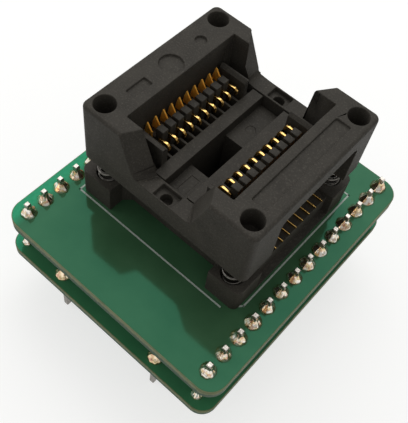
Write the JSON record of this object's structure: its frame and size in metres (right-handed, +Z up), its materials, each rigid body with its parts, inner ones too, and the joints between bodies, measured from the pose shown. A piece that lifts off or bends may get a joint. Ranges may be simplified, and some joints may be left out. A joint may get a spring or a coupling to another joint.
{
  "type": "ic programming adapter",
  "caption": "Open-top spring-loaded test socket for a small-outline chip on two stacked circuit boards with a row of DIP pins below each side.",
  "frame": {"origin": "on the surface that the DIP pin tips stand on, below the middle of the part's bounding box", "axes": "+Z up, towards the cover; +Y along the pin rows, towards the end where the socket sits nearer the edge; +X to the right"},
  "size_m": [0.0324, 0.0372, 0.0297],
  "materials": {
    "board": "green solder mask on glass-epoxy board",
    "header": "black strip with tinned pins",
    "tin": "tinned brass and solder",
    "moulding": "fine-grained black moulding",
    "gold": "gold plating",
    "spring_steel": "bare wire"
  },
  "bodies": {
    "adapter": {"upper_board": "board", "lower_board": "board", "header_left": "header", "header_right": "header", "dip_pin_01": "tin", "dip_pin_02": "tin", "dip_pin_03": "tin", "dip_pin_04": "tin", "dip_pin_05": "tin", "dip_pin_06": "tin", "dip_pin_07": "tin", "dip_pin_08": "tin", "dip_pin_09": "tin", "dip_pin_10": "tin", "dip_pin_11": "tin", "dip_pin_12": "tin", "dip_pin_13": "tin", "dip_pin_14": "tin", "dip_pin_15": "tin", "dip_pin_16": "tin", "dip_pin_17": "tin", "dip_pin_18": "tin", "dip_pin_19": "tin", "dip_pin_20": "tin", "dip_pin_21": "tin", "dip_pin_22": "tin", "dip_pin_23": "tin", "dip_pin_24": "tin", "dip_pin_25": "tin", "dip_pin_26": "tin", "dip_pin_27": "tin", "dip_pin_28": "tin", "socket_base": "moulding", "left_contact_01": "gold", "left_contact_02": "gold", "left_contact_03": "gold", "left_contact_04": "gold", "left_contact_05": "gold", "left_contact_06": "gold", "left_contact_07": "gold", "left_contact_08": "gold", "left_contact_09": "gold", "left_contact_10": "gold", "right_contact_01": "gold", "right_contact_02": "gold", "right_contact_03": "gold", "right_contact_04": "gold", "right_contact_05": "gold", "right_contact_06": "gold", "right_contact_07": "gold", "right_contact_08": "gold", "right_contact_09": "gold", "right_contact_10": "gold", "spring_front_left": "spring_steel", "spring_front_right": "spring_steel", "spring_rear_left": "spring_steel", "spring_rear_right": "spring_steel"},
    "cover": {"cover": "moulding"}
  },
  "joints": [
    {"name": "cover_press", "type": "slide", "parent": "adapter", "child": "cover", "axis": [0, 0, -1], "range_m": [0, 0.0025], "stiffness_N_per_m": 4000, "springref_m": -0.0008, "deforming": ["spring_front_left", "spring_front_right", "spring_rear_left", "spring_rear_right"]}
  ]
}
